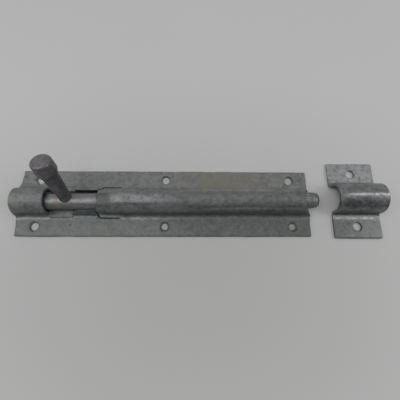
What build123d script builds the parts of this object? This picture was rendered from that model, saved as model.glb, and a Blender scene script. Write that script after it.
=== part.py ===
from build123d import *
import os
from math import sin, cos, sqrt, radians, degrees, asin, atan2

# Pressed-steel barrel bolt, 8 in, hot-dip galvanised, with its separate keep.
# Frame: +X along the bolt towards the keep, +Y across the plate, +Z out of the
# mounting surface. z = 0 is the back of the plate and of the keep. The origin is
# the centre of the plate's six-screw pattern, on the back face, under the bolt.

# ---------------------------------------------------------------- dimensions
sheet_t = 2.0            # pressed sheet thickness

plate_length = 203.2
plate_width = 47.6
screw_pitch_x = 88.9     # three columns of screw holes
screw_rows_y = 33.6      # distance between the two rows
screw_hole_d = 6.5
corner_r = 0.6

rod_d = 11.2             # round bolt, 7/16 in bar and its zinc
rod_length = 200.0
rod_tip_x = 106.8        # nose at rest
rod_axis_z = 6.4
nose_r = 4.0             # rounding at the nose
rear_chamfer = 0.8

tunnel_z = 6.9           # height of the tunnel's centre
tunnel_r = 6.75          # inside radius of the long tunnel, loose on the bolt
throat_angle = 17.0      # the tunnel closes this far past its half circle

strap_r = 7.0            # inside radius of the short rear strap
strap_bend_near = 2.6    # mean radius of its foot bend towards -Y
strap_bend_far = 5.4     # and towards +Y, where the foot is flared
strap_end_x = -79.0      # free edge of the strap

notch_end_x = -63.2      # the low side walls start here
wall_r = 8.1             # half the clear width between the low side walls
wall_bend_r = 1.6
wall_top_z = 4.7         # height of the low side walls
notch_lip_near = 7.0     # inner edge of the flat lip beside the notch, towards -Y
notch_lip_far = 8.2      # and towards +Y
groove_near = 10.3       # shallow shear line along each lip
groove_far = 11.8

tongue_root_x = -31.0    # the two slits end here
tongue_crown_x = -44.0   # free edge of the friction tongue, at its crown
tongue_foot_x = -46.6    # and at its feet
tongue_gap = 0.07        # the tongue is pressed down on to the bolt
slit_y = 10.95           # centre line of each slit
slit_w = 0.8
slit_knee_x = -44.2      # the slit turns inward here
slit_tip = (-47.7, 7.3)  # and runs out at the top of the low wall

mouth_setback = 7.0      # the tunnel's crown stops this far short of the plate's end

peg_x = -65.3            # handle peg at rest
peg_turn_deg = 19.5      # the peg's rest position, turned from upright towards +Y
peg_lean_deg = 4.0       # the peg is fixed slightly out of square, towards -X
peg_root_r = 4.0
peg_neck_r = 5.2
peg_head_r = 6.6
peg_head_from = 30.9     # distances along the peg from the bolt's axis
peg_end = 41.3
saddle_clear = 0.05      # the peg's foot is a saddle on the bolt

keep_length = 33.5       # along X
keep_width = 55.6        # along Y
keep_x = 134.5
keep_y = 2.7
keep_r = 8.6
keep_bend_r = 2.5
keep_axis_z = 6.2
keep_hole_y = 38.8       # distance between the keep's two holes
keep_hole_d = 6.0

os.makedirs("parts", exist_ok=True)


# ------------------------------------------------------------------ sections
def arch_section(y_half, r_in, z_c, bend_near, bend_far, angle):
    """Closed half-round sheet section in the YZ plane, flanges to +-y_half.

    r_in: inside radius, z_c: height of its centre, bend_near and bend_far: mean
    radii of the foot bends at -Y and +Y, angle: how far the arch runs past its
    half circle.
    """
    t = sheet_t
    a = radians(angle)
    py, pz = (r_in + t) * cos(a), z_c - (r_in + t) * sin(a)      # outer arc end
    iy, iz = r_in * cos(a), z_c - r_in * sin(a)                  # inner arc end
    m = radians((180 - angle + 270) / 2)

    def foot(s):
        """Foot bend and flange on one side, s = +1 or -1."""
        bend = bend_far if s > 0 else bend_near
        cy = (r_in + t / 2 + bend) * cos(a)            # centre of the foot bend
        cz = t / 2 + bend
        ro, ri = bend - t / 2, bend + t / 2
        qy, qz = cy - ro * cos(a), cz + ro * sin(a)    # bend start, outside
        jy, jz = cy - ri * cos(a), cz + ri * sin(a)    # and inside
        straight = abs(pz - qz) > 0.01
        out = []
        if straight:
            out.append(Line((s * py, pz), (s * qy, qz)))
        out.append(ThreePointArc((s * (qy if straight else py), qz if straight else pz),
                                 (s * (cy + ro * cos(m)), cz + ro * sin(m)),
                                 (s * cy, t)))
        out.append(Line((s * cy, t), (s * y_half, t)))
        out.append(Line((s * y_half, t), (s * y_half, 0)))
        out.append(Line((s * y_half, 0), (s * cy, 0)))
        out.append(ThreePointArc((s * cy, 0),
                                 (s * (cy + ri * cos(m)), cz + ri * sin(m)),
                                 (s * (jy if straight else iy), jz if straight else iz)))
        if straight:
            out.append(Line((s * jy, jz), (s * iy, iz)))
        return out

    crown = [ThreePointArc((-py, pz), (0, z_c + r_in + t), (py, pz)),
             ThreePointArc((-iy, iz), (0, z_c + r_in), (iy, iz))]
    return make_face(crown + foot(1) + foot(-1))


def closing_bend(r_in, z_c):
    """Mean foot-bend radius that takes the closed arch straight into the flange."""
    sa = sin(radians(throat_angle))
    return (z_c - sheet_t / 2 - (r_in + sheet_t / 2) * sa) / (1 + sa)


def extrude_x(section, x0, x1):
    return Pos(x0, 0, 0) * extrude(Plane.YZ * section, amount=x1 - x0, dir=(1, 0, 0))


def block(x0, x1, y0, y1, z0, z1):
    return Pos((x0 + x1) / 2, (y0 + y1) / 2, (z0 + z1) / 2) * Box(x1 - x0, y1 - y0, z1 - z0)


def plan_prism(points, z0, z1):
    """Prism over a closed outline in plan."""
    return Pos(0, 0, z0) * extrude(make_face(Polyline(*points, close=True)),
                                   amount=z1 - z0, dir=(0, 0, 1))


def side_prism(points, y_half):
    """Prism across the plate over a closed outline in side view (x, z)."""
    return Pos(0, y_half, 0) * extrude(Plane.XZ * make_face(Polyline(*points, close=True)),
                                       amount=2 * y_half, dir=(0, -1, 0))


half_w = plate_width / 2
half_l = plate_length / 2

tunnel_bend_r = closing_bend(tunnel_r, tunnel_z)
tunnel_sec = arch_section(half_w, tunnel_r, tunnel_z, tunnel_bend_r, tunnel_bend_r, throat_angle)
# the tongue's free end is pressed down to the bolt's own radius
tongue_r = rod_d / 2 + tongue_gap
tongue_bend_r = closing_bend(tongue_r, rod_axis_z)
tongue_sec = arch_section(half_w, tongue_r, rod_axis_z, tongue_bend_r, tongue_bend_r, throat_angle)
wall_sec = arch_section(half_w, wall_r, tunnel_z, wall_bend_r, wall_bend_r, 0.0)
strap_z = tunnel_z + tunnel_r - strap_r        # the strap's crown is level with the tunnel's
strap_sec = arch_section(half_w, strap_r, strap_z, strap_bend_near, strap_bend_far, 0.0)

# ---------------------------------------------------------------- body plate
strap = extrude_x(strap_sec, -half_l, strap_end_x)
tunnel = extrude_x(tunnel_sec, tongue_root_x, half_l)

# inner and outer edge of the slit: straight beside the tongue, then slanting inward
hs = slit_w / 2
tip_x, tip_y = slit_tip
tongue_edge = [(tongue_root_x, slit_y - hs), (slit_knee_x + hs * 0.4, slit_y - hs),
               (tip_x + 1.1, tip_y - 0.1)]
wall_edge = [(tongue_root_x, slit_y + hs), (slit_knee_x - hs * 0.4, slit_y + hs),
             (tip_x - 0.8, tip_y + 0.7)]

# low side walls, cut down from the arch, ending at the slanting part of the slit
walls = extrude_x(wall_sec, notch_end_x, slit_knee_x + 1.0)
walls -= block(notch_end_x - 1, slit_knee_x + 2, -half_w, half_w, wall_top_z, 30)
inside = wall_edge[1:] + [(tip_x - 1.0, 0.0)]
inside = [(slit_knee_x + 3, slit_y + hs)] + inside
inside = inside + [(x, -y) for x, y in reversed(inside[:-1])]
# the slanting cut only bites where it crosses the walls, x beyond the slit's tip
walls -= plan_prism(inside, -1, 30)

# flat flanges beside the tongue
flanges = None
for s in (1, -1):
    f = block(slit_knee_x, tongue_root_x, min(s * (slit_y + hs), s * half_w),
              max(s * (slit_y + hs), s * half_w), 0, sheet_t)
    flanges = f if flanges is None else flanges + f

# tongue: runs from the tunnel's section down to the bolt
tongue_outline = tongue_edge + [(tip_x + 0.8, 0.0)]
tongue_outline = tongue_outline + [(x, -y) for x, y in reversed(tongue_outline[:-1])]
tongue_full = loft([Plane.YZ.offset(slit_knee_x - 3.5) * tongue_sec,
                    Plane.YZ.offset(tongue_root_x) * tunnel_sec], ruled=True)
tongue = tongue_full & plan_prism(tongue_outline, -1, 30)
# its free edge slants back from the feet to the crown
slope = (tongue_crown_x - tongue_foot_x) / (14.0 - wall_top_z)
tongue -= side_prism([(-60, wall_top_z), (tongue_foot_x, wall_top_z),
                      (tongue_foot_x + slope * (30 - wall_top_z), 30), (-60, 30)], 20)

body = tunnel + tongue + flanges + walls + strap
for s in (1, -1):
    # flat lips beside the notch, level with the flange
    lip_y = notch_lip_far if s > 0 else notch_lip_near
    groove_y = groove_far if s > 0 else groove_near
    body += block(strap_end_x, notch_end_x, min(s * lip_y, s * half_w),
                  max(s * lip_y, s * half_w), 0, sheet_t)
    body -= block(strap_end_x + 0.6, notch_end_x - 0.4, min(s * (groove_y - 0.2), s * (groove_y + 0.2)),
                  max(s * (groove_y - 0.2), s * (groove_y + 0.2)), sheet_t - 0.4, sheet_t + 1)

# the tunnel's mouth is cut back at its crown, down to the flange at the plate's end
body -= side_prism([(half_l, sheet_t + 0.3), (half_l + 1, sheet_t + 0.3), (half_l + 1, 30),
                    (half_l - mouth_setback - 7.0, 30), (half_l - mouth_setback, 16.0)], 20)

# screw holes
for ix in (-1, 0, 1):
    for iy in (-1, 1):
        body -= Pos(ix * screw_pitch_x, iy * screw_rows_y / 2, 1) * Cylinder(screw_hole_d / 2, 6)

# slightly rounded corners of the blank
body &= Pos(0, 0, -1) * extrude(RectangleRounded(plate_length, plate_width, corner_r), amount=30)

# --------------------------------------------------------------------- shoot
rod_x0 = rod_tip_x - rod_length
r = rod_d / 2
nose_face_r = r - nose_r
k = sqrt(0.5) * nose_r
rod_outline = [
    Line((rod_x0, 0), (rod_x0, r - rear_chamfer)),
    Line((rod_x0, r - rear_chamfer), (rod_x0 + rear_chamfer, r)),
    Line((rod_x0 + rear_chamfer, r), (rod_tip_x - nose_r, r)),
    ThreePointArc((rod_tip_x - nose_r, r), (rod_tip_x - nose_r + k, nose_face_r + k),
                  (rod_tip_x, nose_face_r)),
    Line((rod_tip_x, nose_face_r), (rod_tip_x, 0)),
    Line((rod_tip_x, 0), (rod_x0, 0)),
]
shoot = Pos(0, 0, rod_axis_z) * revolve(Plane.XZ * make_face(rod_outline), Axis.X)

# ---------------------------------------------------------------- handle peg
# drawn upright along +Z from the bolt's axis, then leaned and turned
dome_r = 1.9
kd = dome_r * sqrt(0.5)
peg_outline = [
    Line((0, 3.0), (peg_root_r, 3.0)),
    Line((peg_root_r, 3.0), (peg_root_r, 7.0)),
    Line((peg_root_r, 7.0), (peg_neck_r, peg_head_from - 0.6)),
    ThreePointArc((peg_neck_r, peg_head_from - 0.6),
                  (peg_neck_r + 0.5, peg_head_from + 0.15),
                  (peg_head_r - 0.35, peg_head_from + 0.7)),
    Line((peg_head_r - 0.35, peg_head_from + 0.7), (peg_head_r, peg_head_from + 1.6)),
    Line((peg_head_r, peg_head_from + 1.6), (peg_head_r - 0.2, peg_end - 0.5 - dome_r)),
    ThreePointArc((peg_head_r - 0.2, peg_end - 0.5 - dome_r),
                  (peg_head_r - 0.2 - dome_r + kd, peg_end - 0.5 - dome_r + kd),
                  (peg_head_r - 0.2 - dome_r, peg_end - 0.5)),
    Line((peg_head_r - 0.2 - dome_r, peg_end - 0.5), (1.9, peg_end - 0.1)),
    Line((1.9, peg_end - 0.1), (0, peg_end)),
    Line((0, peg_end), (0, 3.0)),
]
peg = revolve(Plane.XZ * make_face(peg_outline), Axis.Z)
peg = Rot(0, -peg_lean_deg, 0) * peg
peg -= Rot(0, 90, 0) * Cylinder(rod_d / 2 + saddle_clear, 60)
# the part of the peg below the bolt's axis is cut away with the saddle
peg -= Pos(0, 0, -20) * Box(60, 60, 40)
peg = Pos(peg_x, 0, rod_axis_z) * Rot(-peg_turn_deg, 0, 0) * peg
peg_solids = sorted(peg.solids(), key=lambda q: q.volume)
handle_peg = peg_solids[-1]

# ---------------------------------------------------------------------- keep
keep_sec = arch_section(keep_width / 2, keep_r, keep_axis_z, keep_bend_r, keep_bend_r, 0.0)
keep = extrude_x(keep_sec, -keep_length / 2, keep_length / 2)
for s in (1, -1):
    keep -= Pos(0, s * keep_hole_y / 2, 1) * Cylinder(keep_hole_d / 2, 6)
keep &= Pos(0, 0, -1) * extrude(RectangleRounded(keep_length, keep_width, 0.8), amount=30)
keep = Pos(keep_x, keep_y, 0) * keep


def one(shape):
    s = shape.solids() if hasattr(shape, "solids") else [shape]
    s = list(s)
    return s[0] if len(s) == 1 else Compound(children=s)


export_step(one(body), "parts/body_plate.step")
export_step(one(shoot), "parts/shoot.step")
export_step(one(handle_peg), "parts/handle_peg.step")
export_step(one(keep), "parts/keep.step")

for name, s in (("body_plate", body), ("shoot", shoot), ("handle_peg", handle_peg), ("keep", keep)):
    b = s.bounding_box()
    print(name, "solids", len(s.solids()), "volume", round(s.volume, 1),
          "box", [round(v, 2) for v in (b.min.X, b.min.Y, b.min.Z, b.max.X, b.max.Y, b.max.Z)])
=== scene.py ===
import bpy
import math
import numpy as np
from mathutils import Vector, Euler, Matrix


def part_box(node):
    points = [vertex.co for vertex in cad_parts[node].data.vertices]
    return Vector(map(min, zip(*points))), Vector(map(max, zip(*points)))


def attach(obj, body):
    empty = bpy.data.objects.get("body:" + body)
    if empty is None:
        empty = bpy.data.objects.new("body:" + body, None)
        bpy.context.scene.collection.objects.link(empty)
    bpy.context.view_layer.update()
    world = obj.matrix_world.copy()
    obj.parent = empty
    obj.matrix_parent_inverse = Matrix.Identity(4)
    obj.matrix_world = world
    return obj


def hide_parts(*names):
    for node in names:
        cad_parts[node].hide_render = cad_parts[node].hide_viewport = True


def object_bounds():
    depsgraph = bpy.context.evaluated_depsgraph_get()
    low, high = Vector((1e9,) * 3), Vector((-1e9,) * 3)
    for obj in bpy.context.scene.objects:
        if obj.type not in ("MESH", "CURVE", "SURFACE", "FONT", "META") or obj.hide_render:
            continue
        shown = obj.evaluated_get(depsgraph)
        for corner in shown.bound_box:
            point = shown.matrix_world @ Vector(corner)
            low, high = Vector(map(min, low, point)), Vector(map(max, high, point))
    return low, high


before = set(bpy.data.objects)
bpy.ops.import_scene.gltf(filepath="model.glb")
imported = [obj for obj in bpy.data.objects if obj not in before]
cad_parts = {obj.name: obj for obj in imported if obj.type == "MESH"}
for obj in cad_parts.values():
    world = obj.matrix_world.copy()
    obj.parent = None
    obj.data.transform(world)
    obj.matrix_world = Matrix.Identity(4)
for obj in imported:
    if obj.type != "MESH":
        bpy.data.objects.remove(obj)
cad_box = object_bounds()

scene = bpy.context.scene

MM = 1000.0


# ------------------------------------------------------------------ noise
def lattice(seed, n=64):
    return np.random.RandomState(seed).uniform(-1.0, 1.0, (n, n, n)).astype(np.float32)


def noise3(p, size, seed):
    """Smooth noise of the points p (mm) with cells of the given size, about -1..1."""
    g = lattice(seed)
    n = g.shape[0]
    q = p / np.asarray(size, float) + 17.37
    i = np.floor(q).astype(int)
    f = q - i
    w = f * f * (3.0 - 2.0 * f)
    out = np.zeros(len(p))
    for dx in (0, 1):
        for dy in (0, 1):
            for dz in (0, 1):
                k = (w[:, 0] if dx else 1 - w[:, 0]) * (w[:, 1] if dy else 1 - w[:, 1]) * (w[:, 2] if dz else 1 - w[:, 2])
                out += k * g[(i[:, 0] + dx) % n, (i[:, 1] + dy) % n, (i[:, 2] + dz) % n]
    return out


def fractal(p, size, seed, octaves=3):
    out = np.zeros(len(p))
    a, total = 1.0, 0.0
    s = np.asarray(size, float)
    for k in range(octaves):
        out += a * noise3(p, s, seed + 11 * k)
        total += a
        a *= 0.5
        s = s * 0.5
    return out / total * 1.6


def smooth(t, a, b):
    """0 below a, 1 above b, smooth between them; a may be above b."""
    u = np.clip((t - a) / (b - a), 0.0, 1.0)
    return u * u * (3.0 - 2.0 * u)


def bell(t, centre, width):
    return np.exp(-((t - centre) / width) ** 2)


# ------------------------------------------------------------- mesh helpers
def even_mesh(node, voxel, name):
    """A closed, even mesh of a CAD node in mm, made by voxels."""
    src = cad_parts[node]
    me = src.data.copy()
    me.transform(Matrix.Scale(MM, 4))
    ob = bpy.data.objects.new(name, me)
    scene.collection.objects.link(ob)
    mod = ob.modifiers.new("even", "REMESH")
    mod.mode = "VOXEL"
    mod.voxel_size = voxel
    mod.adaptivity = 0.0
    dg = bpy.context.evaluated_depsgraph_get()
    new = bpy.data.meshes.new_from_object(ob.evaluated_get(dg))
    new.name = name
    ob.modifiers.clear()
    ob.data = new
    new.materials.clear()
    return ob


def coords(me):
    co = np.zeros(len(me.vertices) * 3, np.float32)
    me.vertices.foreach_get("co", co)
    return co.reshape(-1, 3).astype(float)


def set_coords(me, co):
    me.vertices.foreach_set("co", co.astype(np.float32).ravel())
    me.update()


def normals(me):
    no = np.zeros(len(me.vertices) * 3, np.float32)
    me.vertices.foreach_get("normal", no)
    return no.reshape(-1, 3).astype(float)


def edges_of(me):
    e = np.zeros(len(me.edges) * 2, np.int32)
    me.edges.foreach_get("vertices", e)
    return e.reshape(-1, 2)


def relax(me, rounds, amount=0.5):
    """Evens the surface, with a return step so that it doesn't shrink."""
    co = coords(me)
    e = edges_of(me)
    deg = np.bincount(e.ravel(), minlength=len(co)).astype(float)[:, None]
    for k in range(rounds):
        for step in (amount, -amount * 1.03):
            s = np.zeros_like(co)
            for c in range(3):
                s[:, c] = (np.bincount(e[:, 0], co[e[:, 1], c], len(co)) + np.bincount(e[:, 1], co[e[:, 0], c], len(co)))
            co += step * (s / deg - co)
    set_coords(me, co)


def attribute(me, name, values):
    a = me.attributes.get(name) or me.attributes.new(name, "FLOAT", "POINT")
    a.data.foreach_set("value", np.asarray(values, np.float32))


def node_box(node):
    lo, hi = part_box(node)
    return np.array(lo) * MM, np.array(hi) * MM


def settle(ob, node, co):
    """Keeps the piece inside the box of its CAD node, or of the whole part where no
    node is given, and brings it back to metres."""
    lo, hi = node_box(node) if node else (np.array(cad_box[0]) * MM, np.array(cad_box[1]) * MM)
    co = np.clip(co, lo, hi)
    me = ob.data
    set_coords(me, co / MM)
    me.polygons.foreach_set("use_smooth", np.ones(len(me.polygons), bool))
    me.update()


# -------------------------------------------------------------- body plate
def build_plate():
    ob = even_mesh("body_plate", 0.42, "plate_skin")
    me = ob.data
    relax(me, 3)
    co = coords(me)
    no = normals(me)
    p0 = co.copy()
    x, y, z = p0.T
    side = np.sign(y)
    ay = np.abs(y)

    # the strap's end is hammered down a little and its feet flare out at the plate's end
    above = smooth(z, 0.4, 2.1)
    end = smooth(x, -86.0, -101.6)
    co[:, 2] -= 1.0 * end * smooth(z, 2.2, 12.0) * bell(y, 0.0, 11.0)
    flare_far = 3.2 * end * bell(z, 3.4, 3.4) * smooth(y, 7.0, 11.5) * smooth(y, 21.0, 15.5)
    last = smooth(x, -94.0, -101.6)
    flare_near = 1.0 * last * bell(z, 4.2, 4.0) * smooth(-y, 5.0, 9.5) * smooth(-y, 20.0, 11.0)
    co[:, 1] += (flare_far - flare_near) * above
    co[:, 2] += (1.0 * end * bell(y, 14.6, 2.4) + 0.7 * end * bell(y, -12.0, 2.8)) * above

    # zinc has filled the feet of the arches into wide, soft fillets
    arch_x = np.maximum(smooth(x, -31.4, -29.0), smooth(x, -78.6, -79.4))
    fill_r = np.where(y < 0, np.where(x < -60.0, 2.7, 3.05), 2.5)
    wall_y = np.where(x < -60.0, 9.0, 8.62)
    my, mz = wall_y + fill_r - ay, 2.03 + fill_r - z
    md = np.maximum(np.hypot(my, mz), 1e-6)
    inner = (my > -0.2) & (mz > -0.2) & (z > 1.75) & (ay > 7.9) & ((y < 0) | (x > -60.0))
    fill = np.where(inner, np.maximum(md - fill_r, 0.0), 0.0) * arch_x * smooth(z, 1.75, 1.95)
    co[:, 1] += side * my / md * fill
    co[:, 2] += mz / md * fill

    # low walls: their cut tops slope outward, more so towards -Y
    wall = smooth(x, -63.6, -62.6) * smooth(x, -45.4, -46.6) * smooth(z, 2.2, 3.6) * smooth(ay, 7.4, 8.2)
    co[:, 2] -= wall * np.where(y < 0, 0.80, 0.35) * (ay - 8.0)
    wall_x = smooth(x, -63.9, -62.9) * smooth(x, -45.0, -46.2)
    co[:, 2] += 0.75 * bell(ay, 10.7, 0.9) * smooth(z, 1.2, 1.9) * wall_x * (y < 0)
    co[:, 2] -= wall * 0.18 * fractal(p0, (5.0, 3.0, 3.0), 33, 2)

    # towards -Y the low wall leans in over the bolt and the lip reaches under it
    lip_x = smooth(x, -79.6, -79.0) * smooth(x, -62.8, -63.4)
    lean = smooth(z, 1.4, 4.2) * smooth(z, 6.5, 5.0) * smooth(ay, 12.6, 10.4) * smooth(x, -64.2, -63.2) * smooth(x, -43.8, -45.6)
    co[:, 1] += 1.75 * lean * (y < 0)
    co[:, 2] -= 0.25 * smooth(z, 2.6, 4.2) * lean * (y < 0)   # clear of the peg when it is swung right over
    co[:, 1] += 2.2 * smooth(ay, 10.0, 7.2) * smooth(z, 3.4, 2.2) * lip_x * (y < 0)
    # the sheared inner edges are thick with zinc at the back
    notch_x = smooth(x, -79.6, -79.0) * smooth(x, -44.6, -46.4)
    back = smooth(z, 1.9, 0.8) * smooth(ay, 11.0, 9.0) * notch_x
    co[:, 1] -= side * np.where(y < 0, 1.2 + 1.2 * (1 - lip_x), 2.4) * back

    # each slit is narrow, and closed by zinc at the back
    line = ((-31.0, 10.95), (-44.2, 10.95), (-47.7, 7.3))
    near_x, near_y = np.full(len(x), 1e3), np.full(len(x), 1e3)
    for (ax, ay0), (bx, by0) in zip(line[:-1], line[1:]):
        t = np.clip(((x - ax) * (bx - ax) + (ay - ay0) * (by0 - ay0)) / ((bx - ax) ** 2 + (by0 - ay0) ** 2), 0, 1)
        vx, vy = ax + t * (bx - ax) - x, ay0 + t * (by0 - ay0) - ay
        nearer = np.hypot(vx, vy) < np.hypot(near_x, near_y)
        near_x, near_y = np.where(nearer, vx, near_x), np.where(nearer, vy, near_y)
    slit_d = np.maximum(np.hypot(near_x, near_y), 1e-6)
    close = np.maximum(0.24 * smooth(slit_d, 1.5, 0.5), (slit_d - 0.04) * smooth(slit_d, 2.1, 1.1) * smooth(z, 1.5, 0.7))
    close = close * smooth(x, -30.7, -31.3) * smooth(z, 6.0, 4.8)
    co[:, 0] += near_x / slit_d * close
    co[:, 1] += side * near_y / slit_d * close

    # the tongue sits square on the bolt, which lies a little askew
    tongue = smooth(x, -48.6, -47.2) * smooth(x, -28.0, -33.0) * smooth(ay, 10.6, 9.6)
    co[:, 1] -= 0.26 * tongue
    # tunnel: a long crease along the near side, and a dent where it begins
    ang = np.degrees(np.arctan2(-y, z - 6.9))            # from upright towards -Y
    rad = np.hypot(y, z - 6.9)
    outer = smooth(rad, 7.2, 8.2) * smooth(ang, -100.0, -80.0) * smooth(ang, 100.0, 80.0)
    wob = 3.5 * noise3(np.c_[x, 0 * x, 0 * x], (14.0, 1, 1), 5)
    reach = smooth(x, 14.0, 40.0) * smooth(x, 98.0, 86.0)
    crease = 0.24 * reach * (bell(ang, 57.0 + wob, 8.0) - 1.3 * bell(ang, 43.0 + wob, 5.0))
    dent = -0.30 * bell(x, -24.0, 9.5) * bell(ang, 34.0, 8.0) + 0.12 * bell(x, -24.0, 10.0) * bell(ang, 20.0, 6.0)
    radial = np.c_[0 * x, y, z - 6.9] / np.maximum(rad, 1e-6)[:, None]
    tunnel = smooth(x, -33.0, -29.0)
    co += radial * ((crease + dent) * outer * tunnel)[:, None]

    # flanges: not quite flat, with a slightly uneven rim
    flat = smooth(ay, 11.0, 14.0)
    top = smooth(z, 0.6, 1.8)
    co[:, 2] -= (0.10 + 0.10 * fractal(p0, (26, 12, 30), 3, 2)) * flat * top
    rim_y = smooth(ay, 21.5, 23.8)
    co[:, 1] -= side * rim_y * (0.12 + 0.16 * fractal(p0, (9, 30, 30), 21, 2)).clip(0, 0.5)
    rim_x = smooth(np.abs(x), 99.5, 101.6)
    co[:, 0] -= np.sign(x) * rim_x * (0.10 + 0.14 * fractal(p0, (30, 6, 8), 23, 2)).clip(0, 0.45)
    # rolled, worn rim of the sheet
    co[:, 2] -= 0.28 * top * smooth(ay, 23.1, 23.8) * flat
    co[:, 2] -= 0.22 * top * smooth(np.abs(x), 100.9, 101.6) * flat

    # zinc: lumps and runs
    upward = smooth(no[:, 2], -0.2, 0.5)
    lumps = fractal(p0, (5.5, 3.2, 3.2), 41, 3)
    fine = fractal(p0, (1.9, 1.5, 1.5), 61, 2)
    crown = smooth(z, 4.0, 11.0)
    right = smooth(x, 40.0, 95.0)
    amp = 0.040 + 0.045 * crown + 0.05 * right * smooth(ay, 23.0, 6.0)
    calm = 1.0 - 0.55 * smooth(x, -76.0, -90.0)
    d = (amp * lumps + 0.022 * fine) * calm
    runs = np.maximum(0.0, fractal(p0, (11.0, 2.6, 4.0), 83, 2) - 0.45) * 0.22 * crown * upward
    co += no * ((d * upward + 0.02 * lumps * (1 - upward) + runs)[:, None])

    # small pits and the filed streaks near the far end of the plate
    for px, py, pr, pd in ((-64.5, -15.6, 0.9, 0.35), (-27.5, 8.6, 0.7, 0.25), (-8.0, -14.5, 0.9, 0.2), (12.0, -11.5, 1.1, 0.22),
                           (52.0, 13.5, 0.8, 0.2), (88.0, 15.5, 1.0, 0.25), (90.5, 9.5, 0.9, 0.28), (96.0, 11.5, 0.8, 0.22), (76.0, -19.0, 0.8, 0.2)):
        co[:, 2] -= pd * bell(x, px, pr) * bell(y, py, pr) * smooth(z, 1.0, 1.9)
    filed = smooth(x, 84.0, 90.0) * smooth(x, 99.5, 95.0) * smooth(y, -7.5, -9.5) * top
    stroke = np.sin((x + 0.04 * y) * 2 * math.pi / 1.7 + 1.4 * noise3(p0, (3, 9, 3), 7))
    co[:, 2] -= 0.10 * filed * (1 + stroke)

    # sheared line along each lip beside the notch
    lip = smooth(x, -79.4, -78.6) * smooth(x, -62.4, -63.4) * top
    shear_y = np.where(y > 0, 11.8, 10.3) + 0.25 * noise3(p0, (4.0, 40, 40), 301)
    co[:, 2] -= 0.32 * lip * bell(ay, shear_y, 0.38)
    # zinc narrows the screw holes towards the back
    for hx in (-88.9, 0.0, 88.9):
        for hy in (-16.8, 16.8):
            dx, dy = x - hx, y - hy
            rr = np.hypot(dx, dy)
            deep = 0.85 if hy < 0 and hx > -1.0 else 0.6
            pull = smooth(rr, 3.75, 3.35) * smooth(z, 2.0, 0.3) * deep * (1.0 + 0.4 * noise3(p0, (2.0, 2.0, 2.0), 311))
            co[:, 0] -= dx / np.maximum(rr, 1e-6) * pull
            co[:, 1] -= dy / np.maximum(rr, 1e-6) * pull
            # slightly dished rim of the punched hole
            co[:, 2] -= 0.10 * top * bell(rr, 3.3, 0.7)

    # masks for the finish: worn zinc and dirt, with painted highlights and painted shade
    # painted highlight along the crown of the tunnel, strongest where the tunnel begins, with rubbed zinc
    rub_and_highlight = smooth(np.abs(ang), 30.0, 6.0) * smooth(z, 10.0, 13.0)
    along = np.maximum(smooth(x, -31.0, -28.0), smooth(x, -46.0, -48.0))
    rub_and_highlight = rub_and_highlight * np.where(x < -50.0, 0.35, 0.15 + 0.85 * smooth(x, -37.0, -31.0) * (1.0 - 0.8 * smooth(x, -4.0, 14.0)))
    # painted highlight: a bright line along the near foot of the arches
    foot_highlight = bell(y, -11.25, 0.7) * smooth(z, 1.4, 1.9) * along * (0.9 - 0.6 * smooth(x, -10.0, 20.0))
    rub_and_highlight = np.maximum(rub_and_highlight, foot_highlight)
    # painted sheen on the far side of the tunnel towards its right end
    rub_and_highlight = np.maximum(rub_and_highlight, 0.5 * smooth(x, 10.0, 32.0) * smooth(x, 78.0, 64.0) * bell(ang, -50.0, 15.0) * smooth(z, 7.0, 9.0))
    attribute(me, "rub_and_highlight", rub_and_highlight)
    # painted shade on faces that look down
    cave = smooth(no[:, 2], 0.0, -0.5) * 0.5
    # painted shade on the low wall beside the bolt, under its overhang
    near_wall = smooth(x, -63.9, -62.9) * smooth(x, -45.4, -46.8) * smooth(z, 2.4, 3.6) * smooth(-y, 7.2, 7.8)
    # painted shade: a dark sheet at the back of the notch and inside the slits
    under = np.maximum(smooth(z, 1.95, 1.5) * smooth(ay, 10.6, 9.4) * notch_x, 0.9 * smooth(no[:, 1] * -side, 0.3, 0.7) * smooth(ay, 9.0, 8.4) * notch_x)
    in_slit = smooth(z, 1.9, 1.5) + smooth(x, -43.8, -45.0) * smooth(z, 6.0, 4.6)
    under = np.maximum(under, smooth(slit_d, 0.62, 0.40) * np.minimum(in_slit + 0.35 * smooth(z, 6.0, 4.6), 1.0) * smooth(x, -30.7, -31.5))
    # painted shade on the lip next to the bolt
    edge_dark = 0.08 * smooth(-y, 10.2, 7.0) * lip_x * (z < 3.0) * (y < 0)
    # painted shade in the crease along the near foot of the tunnel
    foot_crease_shade = smooth(x, -31.0, -26.0) * bell(y, -8.9, 0.8) * smooth(z, 5.0, 3.5) * smooth(z, 1.8, 2.6) * 0.35
    # painted shade in the sheared groove along each lip
    shear_line_shade = 0.55 * lip * bell(ay, shear_y, 0.40)
    grime_and_shade = np.maximum.reduce([cave, 0.70 * near_wall, foot_crease_shade, shear_line_shade, under, edge_dark])
    # painted shadow: the near side darker, deepening towards the right end, less so along the near foot
    shade_and_dull_zinc = 0.36 * smooth(x, -30.0, 30.0) * smooth(-y, 5.0, 12.0) + 0.04 * smooth(x, 40.0, 95.0) * (y < 0)
    shade_and_dull_zinc = np.maximum(shade_and_dull_zinc, 0.09 * smooth(-y, 10.5, 13.0) + 0.36 * smooth(-y, 10.5, 13.0) * smooth(x, 50.0, 80.0))
    shade_and_dull_zinc = shade_and_dull_zinc * (1.0 - 0.5 * bell(y, -9.6, 1.5))
    # painted shade: the crown of the tunnel darker towards the right and on the tongue
    crest = smooth(np.abs(ang - 8.0), 52.0, 30.0) * smooth(z, 8.0, 11.0)
    tongue_x = smooth(x, -50.0, -46.0) * smooth(x, -33.0, -37.5)
    shade_and_dull_zinc = shade_and_dull_zinc + crest * (0.14 + 0.22 * smooth(x, -4.0, 20.0) + 0.35 * tongue_x) * smooth(x, -50.0, -44.0)
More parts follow.
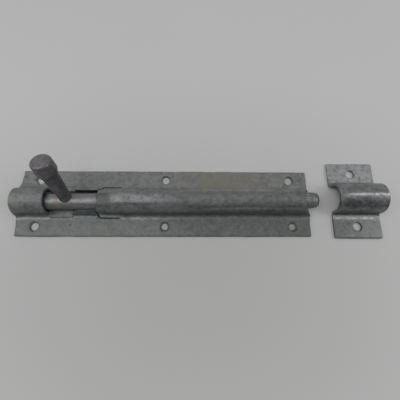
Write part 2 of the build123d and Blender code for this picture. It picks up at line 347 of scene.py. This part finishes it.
    # painted shade on the near side of the tunnel and in its crease
    shade_and_dull_zinc = np.maximum(shade_and_dull_zinc, 0.42 * reach * smooth(np.abs(ang - 62.0), 26.0, 14.0) * smooth(z, 3.0, 5.0))
    shade_and_dull_zinc = np.maximum(shade_and_dull_zinc, 0.55 * reach * bell(ang, 44.0 + wob, 4.5) * smooth(z, 8.0, 10.0))
    # irregular duller patches of zinc on the tunnel and at the far end of the plate
    pit_spot = 0.75 * bell(x, -64.3, 0.8) * bell(y, -15.6, 0.7) * top
    grime_and_shade = np.maximum.reduce([grime_and_shade, pit_spot, 0.42 * filed * smooth(stroke, 0.1, 0.9)])
    mottle = smooth(fractal(p0, (8.0, 3.6, 3.6), 401, 3), 0.0, 0.55) * smooth(z, 3.0, 7.0)
    mottle = np.maximum(mottle, smooth(fractal(p0, (4.0, 3.0, 3.0), 417, 3), 0.0, 0.5) * smooth(x, 70.0, 84.0) * (y > -4.0))
    shade_and_dull_zinc = shade_and_dull_zinc + 0.20 * mottle * smooth(x, -100.0, -84.0) * smooth(np.abs(y), 22.0, 18.0)
    grime_and_shade = np.maximum(grime_and_shade, shade_and_dull_zinc)
    attribute(me, "grime_and_shade", grime_and_shade)
    attribute(me, "stain", np.maximum(bell(x, 40.0, 24.0) * smooth(y, 4.0, 10.0), 0.5 * bell(x, -46.0, 4.0) * bell(ang, 0.0, 30.0)))
    # nothing of the sheet reaches into the bolt, wherever it has slid to
    for slid in (-8.5, 15.5):
        axis_y = math.tan(math.radians(0.50)) * (co[:, 0] - slid + 12.0)
        off_y, off_z = co[:, 1] - axis_y, co[:, 2] - 6.4
        r = np.maximum(np.hypot(off_y, off_z), 1e-6)
        past = r - 5.66
        grow = (5.66 + 0.5 * (past + np.sqrt(past * past + 0.09))) / r
        co[:, 1], co[:, 2] = axis_y + off_y * grow, 6.4 + off_z * grow
    settle(ob, "body_plate", co)
    return ob


# ------------------------------------------------------------------- shoot
def build_shoot():
    ob = even_mesh("shoot", 0.42, "shoot_skin")
    me = ob.data
    relax(me, 4)
    co = coords(me)
    no = normals(me)
    p0 = co.copy()
    x, y, z = p0.T
    co += no * (0.030 * fractal(p0, (4.5, 2.5, 2.5), 101, 3) - 0.035)[:, None]
    near_tip = smooth(x, 96.0, 103.0)
    co += no * (near_tip * 0.06 * (fractal(p0, (2.2, 2.2, 2.2), 121, 2) - 0.6))[:, None]
    # the loose bolt lies half a degree askew in its tunnel
    k = math.tan(math.radians(0.50))
    co[:, 1] += k * (x + 12.0)
    ang = np.degrees(np.arctan2(-y, z - 6.4))
    # painted highlight along the top of the bar, with rubbed zinc, weaker towards the right
    attribute(me, "rub_and_highlight", (0.75 - 0.24 * smooth(x, -66.0, -58.0)) * smooth(np.abs(ang - 6.0), 34.0, 8.0))
    attribute(me, "stain", 0.8 * bell(x, -71.0, 2.6) * smooth(ang, -20.0, 10.0) * smooth(ang, 70.0, 45.0))
    rust = smooth(x, 98.0, 101.0) * smooth(fractal(p0, (3.0, 2.2, 2.2), 171, 2), -0.15, 0.35)
    # painted shade on the underside and on the lower rim of the rounded tip; rust and darker zinc towards the tip
    attribute(me, "grime_and_shade", np.maximum.reduce([smooth(no[:, 2], -0.1, -0.8) * 0.6, 0.45 * rust * smooth(z, 9.5, 6.0) + 0.15 * rust,
                                              0.30 * smooth(x, 98.5, 100.0), 0.62 * smooth(x, 103.6, 106.2) * smooth(ang, -60.0, 20.0),
                                              0.5 * smooth(x, 97.5, 99.0) * smooth(fractal(p0, (2.6, 2.0, 2.0), 181, 2), 0.15, 0.5)]))
    lo, hi = node_box("shoot")
    me2 = co.copy()
    me2[:, 0] = np.clip(me2[:, 0], lo[0], hi[0])
    set_coords(me, me2 / MM)
    me.polygons.foreach_set("use_smooth", np.ones(len(me.polygons), bool))
    me.update()
    return ob


# -------------------------------------------------------------- handle peg
def build_peg():
    ob = even_mesh("handle_peg", 0.30, "peg_skin")
    me = ob.data
    relax(me, 22)
    co = coords(me)
    no = normals(me)
    p0 = co.copy()
    a = math.radians(19.5)
    l = math.radians(4.0)
    axis = np.array([-math.sin(l), math.sin(a) * math.cos(l), math.cos(a) * math.cos(l)])
    rel = p0 - np.array([-65.3, 0.0, 6.4])
    s = rel @ axis
    keep_foot = smooth(s, 6.0, 9.0)
    co += no * ((0.05 * fractal(p0, (4.0, 4.0, 4.0), 131, 3) + 0.018 * fractal(p0, (1.4, 1.4, 1.4), 137, 2) - 0.055) * keep_foot)[:, None]
    # a run of zinc under the head
    co += no * (0.16 * bell(s, 28.4, 2.0) * np.maximum(0, fractal(p0, (3.0, 3.0, 5.0), 149, 2)) * keep_foot)[:, None]
    # the head runs into the neck with a long, soft shoulder
    foot = np.array([-65.3, 0.0, 6.4])
    out = co - foot - np.outer((co - foot) @ axis, axis)
    rad = np.maximum(np.linalg.norm(out, axis=1), 1e-6)
    want = 4.95 + 1.35 * smooth(s, 27.5, 32.0)
    grow = np.maximum(want - rad, 0.0) * smooth(rad, 3.0, 4.6) * smooth(s, 22.0, 25.5) * smooth(s, 33.6, 32.2)
    co += out / rad[:, None] * grow[:, None]
    # its saddle stands a little off the bolt, so that it turns freely
    sy, sz = p0[:, 1], p0[:, 2] - 6.4
    sr = np.maximum(np.hypot(sy, sz), 1e-6)
    lift = 0.52 * smooth(sr, 9.5, 6.2)
    co[:, 1] += sy / sr * lift
    co[:, 2] += sz / sr * lift
    # the peg stands on the bolt, which lies a little askew
    co[:, 1] -= 0.36
    co[:, 0] += 0.75 * smooth(s, 8.0, 40.0)
    attribute(me, "stain", 0.7 * smooth(s, 14.0, 8.0))
    # the top of the head is lighter: rubbed zinc and a painted highlight
    attribute(me, "rub_and_highlight", 0.6 * smooth(s, 38.6, 40.4))
    # painted shade on the neck under the head and at the foot on the bolt
    attribute(me, "grime_and_shade", np.maximum(0.28 * smooth(s, 31.8, 28.8) * smooth(s, 19.0, 27.0), 0.06 * smooth(s, 11.0, 7.0)))
    settle(ob, None, co)
    return ob


# -------------------------------------------------------------------- keep
def build_keep():
    ob = even_mesh("keep", 0.36, "keep_skin")
    me = ob.data
    relax(me, 3)
    co = coords(me)
    no = normals(me)
    p0 = co.copy()
    x, y, z = p0.T
    yc = y - 2.7
    upward = smooth(no[:, 2], -0.2, 0.5)
    crown = smooth(z, 4.0, 11.0)
    amp = 0.055 + 0.06 * crown
    d = amp * fractal(p0, (4.2, 3.0, 3.0), 201, 3) + 0.03 * fractal(p0, (1.6, 1.4, 1.4), 211, 2)
    edge_left = bell(x, 119.5, 1.6) * crown
    d += 0.10 * edge_left * fractal(p0, (1.4, 2.0, 2.0), 223, 2)
    co += no * (d * upward - 0.04 * (1 - upward))[:, None]
    ang = np.degrees(np.arctan2(-yc, z - 6.2))
    # a flattened rib on the crown that catches the light
    co[:, 2] -= 0.22 * bell(ang, 3.0, 5.0) * crown * upward * smooth(x, 121.0, 126.0)
    rim = smooth(np.abs(yc), 26.6, 27.8)
    co[:, 1] -= np.sign(yc) * rim * (0.10 + 0.15 * fractal(p0, (6, 20, 20), 231, 2)).clip(0, 0.5)
    co[:, 2] -= 0.25 * smooth(z, 0.6, 1.8) * rim * (z < 3)
    # painted highlight: a bright line along the crown
    line = bell(ang, 2.0, 5.0) * smooth(z, 10.0, 13.0) * smooth(x, 120.0, 130.0)
    # painted highlights on the far foot and along the near foot, with the crown line
    rub_and_highlight = np.maximum.reduce([line, 0.55 * smooth(yc, 12.5, 15.0), 0.9 * bell(yc, -13.4, 0.7) * smooth(z, 5.0, 3.0)])
    attribute(me, "rub_and_highlight", rub_and_highlight)
    crest = smooth(np.abs(ang - 6.0), 60.0, 34.0) * smooth(z, 7.0, 11.0)
    # painted shade on the near foot
    near_foot_shade = (0.26 + 0.24 * smooth(x, 141.0, 131.0)) * smooth(yc, -13.5, -15.5)
    blotch = (0.24 * smooth(fractal(p0, (5.5, 3.4, 3.4), 241, 3), -0.05, 0.6)
              + 0.16 * smooth(fractal(p0, (2.4, 2.0, 2.0), 251, 2), -0.1, 0.5)) * smooth(z, 2.4, 6.0)
    # painted shade on the near side of the arch
    shade = crest * (0.10 + 0.38 * smooth(ang, 2.0, 16.0)) * (1.0 - line)
    # painted shade on faces that look down and in the near trough, with blotches of darker zinc
    attribute(me, "grime_and_shade", np.maximum.reduce([smooth(no[:, 2], 0.0, -0.6) * 0.5, shade + blotch * (1.0 - 0.6 * line), near_foot_shade,
                                              0.30 * bell(yc, -9.8, 1.4) * smooth(z, 8, 5)]))
    attribute(me, "stain", np.zeros(len(co)))
    settle(ob, "keep", co)
    return ob


# --------------------------------------------------------------- materials
def new_material(name):
    m = bpy.data.materials.new(name)
    m.use_nodes = True
    nt = m.node_tree
    for n in list(nt.nodes):
        nt.nodes.remove(n)
    return m, nt


class Graph:
    """Small helper for building a node tree."""

    def __init__(self, nt):
        self.nt = nt
        out = nt.nodes.new("ShaderNodeOutputMaterial")
        self.bsdf = nt.nodes.new("ShaderNodeBsdfPrincipled")
        nt.links.new(self.bsdf.outputs["BSDF"], out.inputs["Surface"])
        tc = nt.nodes.new("ShaderNodeTexCoord")
        sc = nt.nodes.new("ShaderNodeVectorMath")
        sc.operation = "SCALE"
        sc.inputs["Scale"].default_value = MM
        nt.links.new(tc.outputs["Object"], sc.inputs[0])
        self.p = sc.outputs["Vector"]

    def link(self, a, b):
        self.nt.links.new(a, b)

    def put(self, socket, v):
        if isinstance(v, (int, float)):
            socket.default_value = v
        elif isinstance(v, tuple):
            socket.default_value = v
        else:
            self.link(v, socket)

    def math(self, op, a, b=0.0, c=0.0, clamp=False):
        n = self.nt.nodes.new("ShaderNodeMath")
        n.operation = op
        n.use_clamp = clamp
        self.put(n.inputs[0], a)
        self.put(n.inputs[1], b)
        self.put(n.inputs[2], c)
        return n.outputs[0]

    def stretch(self, scale):
        n = self.nt.nodes.new("ShaderNodeVectorMath")
        n.operation = "MULTIPLY"
        self.link(self.p, n.inputs[0])
        n.inputs[1].default_value = scale
        return n.outputs["Vector"]

    def noise(self, scale, detail=3.0, rough=0.5, vec=None, distortion=0.0, offset=0.0):
        n = self.nt.nodes.new("ShaderNodeTexNoise")
        n.noise_dimensions = "3D"
        n.inputs["Scale"].default_value = scale
        n.inputs["Detail"].default_value = detail
        n.inputs["Roughness"].default_value = rough
        n.inputs["Distortion"].default_value = distortion
        v = vec if vec is not None else self.p
        if offset:
            o = self.nt.nodes.new("ShaderNodeVectorMath")
            o.operation = "ADD"
            self.link(v, o.inputs[0])
            o.inputs[1].default_value = (offset, offset * 0.7, offset * 1.3)
            v = o.outputs["Vector"]
        self.link(v, n.inputs["Vector"])
        return n.outputs["Fac"]

    def cells(self, scale, vec=None, kind="F1", out="Distance", rand=1.0):
        n = self.nt.nodes.new("ShaderNodeTexVoronoi")
        n.feature = kind
        n.inputs["Scale"].default_value = scale
        n.inputs["Randomness"].default_value = rand
        self.link(vec if vec is not None else self.p, n.inputs["Vector"])
        return n.outputs[out]

    def ramp(self, v, a, b, lo=0.0, hi=1.0):
        n = self.nt.nodes.new("ShaderNodeMapRange")
        n.interpolation_type = "SMOOTHSTEP"
        self.link(v, n.inputs["Value"])
        n.inputs["From Min"].default_value = a
        n.inputs["From Max"].default_value = b
        n.inputs["To Min"].default_value = lo
        n.inputs["To Max"].default_value = hi
        return n.outputs["Result"]

    def mix(self, fac, a, b, blend="MIX"):
        n = self.nt.nodes.new("ShaderNodeMix")
        n.data_type = "RGBA"
        n.blend_type = blend
        n.clamp_factor = True
        self.put(n.inputs[0], fac)
        for i, v in ((6, a), (7, b)):
            if isinstance(v, tuple):
                n.inputs[i].default_value = v + (1.0,)
            else:
                self.link(v, n.inputs[i])
        return n.outputs[2]

    def attr(self, name):
        n = self.nt.nodes.new("ShaderNodeAttribute")
        n.attribute_type = "GEOMETRY"
        n.attribute_name = name
        return n.outputs["Fac"]

    def bump(self, height, distance, strength=1.0, normal=None):
        n = self.nt.nodes.new("ShaderNodeBump")
        n.inputs["Strength"].default_value = strength
        n.inputs["Distance"].default_value = distance / MM
        self.link(height, n.inputs["Height"])
        if normal is not None:
            self.link(normal, n.inputs["Normal"])
        return n.outputs["Normal"]


def zinc(name, base, cool, warm, wear_and_highlight_colour, dark, metallic, rough, grain=1.0, spark=0.3, olive=(0.180, 0.174, 0.138), masks=True):
    m, nt = new_material(name)
    g = Graph(nt)
    cloud = g.noise(0.085, 4.0, 0.55, distortion=0.6)
    cloud2 = g.noise(0.16, 3.0, 0.5, offset=31.0, distortion=0.4)
    patch = g.noise(0.42, 3.0, 0.6, offset=9.0)
    speck = g.noise(1.7, 3.0, 0.65, offset=5.0)
    fine = g.noise(4.5, 2.0, 0.6, offset=3.0)
    col = g.mix(g.ramp(cloud, 0.40, 0.62), base, cool)
    col = g.mix(g.ramp(cloud2, 0.50, 0.72), col, warm)
    # cloudy light and dark
    val = g.math("ADD", g.ramp(patch, 0.30, 0.72, 0.80, 1.20), g.ramp(speck, 0.30, 0.72, -0.10 * grain, 0.10 * grain))
    val = g.math("ADD", val, g.ramp(fine, 0.3, 0.7, -0.05 * grain, 0.05 * grain))
    # faint crystals of the zinc
    warp = nt.nodes.new("ShaderNodeVectorMath")
    warp.operation = "MULTIPLY_ADD"
    wn = nt.nodes.new("ShaderNodeTexNoise")
    wn.inputs["Scale"].default_value = 0.5
    g.link(g.p, wn.inputs["Vector"])
    g.link(wn.outputs["Color"], warp.inputs[0])
    warp.inputs[1].default_value = (1.6, 1.6, 1.6)
    g.link(g.p, warp.inputs[2])
    cell = nt.nodes.new("ShaderNodeTexVoronoi")
    cell.inputs["Scale"].default_value = 0.30
    g.link(warp.outputs["Vector"], cell.inputs["Vector"])
    sep = nt.nodes.new("ShaderNodeSeparateColor")
    g.link(cell.outputs["Color"], sep.inputs[0])
    val = g.math("ADD", val, g.ramp(sep.outputs[0], 0.0, 1.0, -0.05, 0.05))
    vv = nt.nodes.new("ShaderNodeCombineColor")
    for i in range(3):
        g.link(val, vv.inputs[i])
    col = g.mix(1.0, col, vv.outputs[0], "MULTIPLY")
    # dark pits
    pit = g.cells(0.55, vec=warp.outputs["Vector"])
    gate = g.ramp(g.noise(0.25, 2.0, 0.5, offset=77.0), 0.52, 0.62)
    pits = g.math("MULTIPLY", g.ramp(pit, 0.22, 0.08), gate)
    col = g.mix(g.math("MULTIPLY", pits, 0.6), col, dark)
    # long faint scratches along and across
    sv = g.stretch((0.10, 2.2, 2.2))
    s1 = g.ramp(g.noise(1.0, 2.0, 0.5, vec=sv), 0.66, 0.74)
    sv2 = g.stretch((2.4, 0.16, 0.5))
    s2 = g.ramp(g.noise(1.0, 2.0, 0.5, vec=sv2, offset=13.0), 0.69, 0.76)
    scr = g.math("MAXIMUM", g.math("MULTIPLY", s1, 0.35), g.math("MULTIPLY", s2, 0.30))
    col = g.mix(scr, col, wear_and_highlight_colour)
    roughness = g.ramp(patch, 0.3, 0.7, rough - 0.05, rough + 0.07)
    if masks:
        # rubbed zinc and painted highlights: lighter colour and lower roughness
        rub_and_highlight = g.attr("rub_and_highlight")
        rub_highlight_fac = g.math("MULTIPLY", rub_and_highlight, g.ramp(g.noise(0.27, 4.0, 0.62, offset=50.0, distortion=0.5), 0.34, 0.56))
        col = g.mix(g.math("MULTIPLY", rub_highlight_fac, 0.55), col, wear_and_highlight_colour)
        roughness = g.math("SUBTRACT", roughness, g.math("MULTIPLY", rub_highlight_fac, spark))
        col = g.mix(g.math("MULTIPLY", g.attr("stain"), g.ramp(g.noise(0.12, 3.0, 0.5, offset=91.0), 0.35, 0.6, 0.35, 0.9)), col, olive)
        # dirt and painted shade: darker colour
        grime_and_shade_fac = g.math("MULTIPLY", g.attr("grime_and_shade"), g.ramp(g.noise(0.5, 3.0, 0.6, offset=70.0), 0.25, 0.6, 0.6, 1.0))
        col = g.mix(grime_and_shade_fac, col, dark)
    g.link(col, g.bsdf.inputs["Base Color"])
    g.link(roughness, g.bsdf.inputs["Roughness"])
    g.bsdf.inputs["Metallic"].default_value = metallic
    h = g.math("ADD", g.math("MULTIPLY", speck, 0.7), g.math("MULTIPLY", fine, 0.3))
    n1 = g.bump(h, 0.10, 0.5 * grain)
    n2 = g.bump(pits, -0.15, 0.6, n1)
    g.link(n2, g.bsdf.inputs["Normal"])
    return m


plate_mat = zinc("galvanised_sheet", (0.168, 0.172, 0.172), (0.154, 0.167, 0.164), (0.178, 0.175, 0.163),
                 (0.34, 0.34, 0.36), (0.045, 0.047, 0.047), 0.45, 0.58, spark=0.12)
bar_mat = zinc("galvanised_bar", (0.178, 0.178, 0.188), (0.164, 0.168, 0.168), (0.188, 0.183, 0.165),
               (0.36, 0.36, 0.39), (0.06, 0.06, 0.06), 0.50, 0.50, spark=0.12, olive=(0.19, 0.18, 0.125))
peg_mat = zinc("galvanised_peg", (0.122, 0.116, 0.126), (0.106, 0.101, 0.113), (0.113, 0.106, 0.099),
               (0.20, 0.19, 0.205), (0.045, 0.043, 0.042), 0.45, 0.50, olive=(0.125, 0.118, 0.092))
keep_mat = zinc("galvanised_keep", (0.185, 0.19, 0.19), (0.165, 0.175, 0.175), (0.20, 0.20, 0.19),
                (0.48, 0.49, 0.51), (0.045, 0.047, 0.048), 0.60, 0.46, grain=1.6, spark=0.22)

pieces = (
    (build_plate(), "plate", "body_plate", "galvanised_sheet", plate_mat),
    (build_shoot(), "bolt", "shoot", "galvanised_bar", bar_mat),
    (build_peg(), "handle", "handle_peg", "galvanised_peg", peg_mat),
    (build_keep(), "keep", "keep", "galvanised_keep", keep_mat),
)
for ob, body, node, slot, mat in pieces:
    ob.data.materials.append(mat)
    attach(ob, body)
    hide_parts(node)
    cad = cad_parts[node]
    cad.data.materials.clear()
    cad.data.materials.append(mat)

# ------------------------------------------------------------------- floor
bpy.ops.mesh.primitive_plane_add(size=4.0, location=(0, 0, -0.0002))
floor = bpy.context.object
floor.name = "floor"
m, nt = new_material("floor")
g = Graph(nt)
fn = g.noise(0.004, 2.0, 0.5)
paper = g.mix(g.ramp(fn, 0.3, 0.7), (0.72, 0.72, 0.72), (0.75, 0.75, 0.745))
# painted shadow: the paper is a little greyer in a broad, soft area
wide = nt.nodes.new("ShaderNodeVectorMath")
wide.operation = "MULTIPLY_ADD"
g.link(g.p, wide.inputs[0])
wide.inputs[1].default_value = (1 / 230.0, 1 / 150.0, 0.0)
wide.inputs[2].default_value = (-20.0 / 230.0, 60.0 / 150.0, 0.0)
length = nt.nodes.new("ShaderNodeVectorMath")
length.operation = "LENGTH"
g.link(wide.outputs["Vector"], length.inputs[0])
broad_shadow = g.ramp(length.outputs["Value"], 1.25, 0.05, 0.0, 1.0)
floor_col = g.mix(broad_shadow, paper, (0.66, 0.66, 0.652), "MULTIPLY")
# and painted shade where the plate hides it, darker towards +X and -Y, seen only through the screw holes
xyz = nt.nodes.new("ShaderNodeSeparateXYZ")
g.link(g.p, xyz.inputs[0])
under_x = g.ramp(g.math("ABSOLUTE", xyz.outputs[0]), 98.0, 96.0)
under_y = g.ramp(g.math("ABSOLUTE", xyz.outputs[1]), 21.5, 20.5)
under_plate_shade = g.math("MULTIPLY", g.math("MULTIPLY", under_x, under_y), g.ramp(xyz.outputs[0], -85.0, 88.0, 0.1, 0.9))
under_plate_shade = g.math("MULTIPLY", under_plate_shade, g.ramp(xyz.outputs[1], 20.0, -20.0, 0.7, 1.0))
g.link(g.mix(under_plate_shade, floor_col, (0.45, 0.45, 0.44), "MULTIPLY"), g.bsdf.inputs["Base Color"])
g.bsdf.inputs["Roughness"].default_value = 0.75
floor.data.materials.append(m)

# ------------------------------------------------------------------- light
world = bpy.data.worlds.new("world")
scene.world = world
world.use_nodes = True
wt = world.node_tree
bg = wt.nodes["Background"]
tc = wt.nodes.new("ShaderNodeTexCoord")
sp = wt.nodes.new("ShaderNodeSeparateXYZ")
wt.links.new(tc.outputs["Generated"], sp.inputs[0])
# dim towards -Y, where the camera stands, and bright above and towards +Y
mr = wt.nodes.new("ShaderNodeMapRange")
mr.inputs["From Min"].default_value = -0.75
mr.inputs["From Max"].default_value = 0.35
mr.inputs["To Min"].default_value = 0.20
mr.inputs["To Max"].default_value = 0.64
wt.links.new(sp.outputs["Y"], mr.inputs["Value"])
wt.links.new(mr.outputs["Result"], bg.inputs["Strength"])
bg.inputs["Color"].default_value = (1.0, 1.0, 1.0, 1.0)


def area(name, loc, target, size, energy, size_y=None):
    ld = bpy.data.lights.new(name, "AREA")
    ld.energy = energy
    ld.size = size
    if size_y:
        ld.shape = "RECTANGLE"
        ld.size_y = size_y
    lo = bpy.data.objects.new(name, ld)
    scene.collection.objects.link(lo)
    lo.location = loc
    lo.rotation_euler = (Vector(target) - lo.location).to_track_quat("-Z", "Y").to_euler()
    return lo


area("overhead", (-0.27, -0.085, 0.88), (-0.03, -0.01, 0), 0.62, 1.55, 0.22)
area("left_box", (-0.45, -0.03, 0.50), (-0.05, 0.0, 0), 0.30, 0.6)
area("right_box", (0.56, -0.03, 0.50), (0.13, 0.0, 0), 0.28, 1.1)

# ------------------------------------------------------------------ camera
cam_data = bpy.data.cameras.new("camera")
cam = bpy.data.objects.new("camera", cam_data)
scene.collection.objects.link(cam)
cam.location = (0.0200, -0.0508, 0.1944)
cam.rotation_euler = Euler((math.radians(15.39), math.radians(-1.27), math.radians(-0.16)), "XYZ")
cam_data.sensor_width = 36.0
cam_data.lens = 282.2 * 36.0 / 400.0
cam_data.clip_start = 0.01
scene.camera = cam
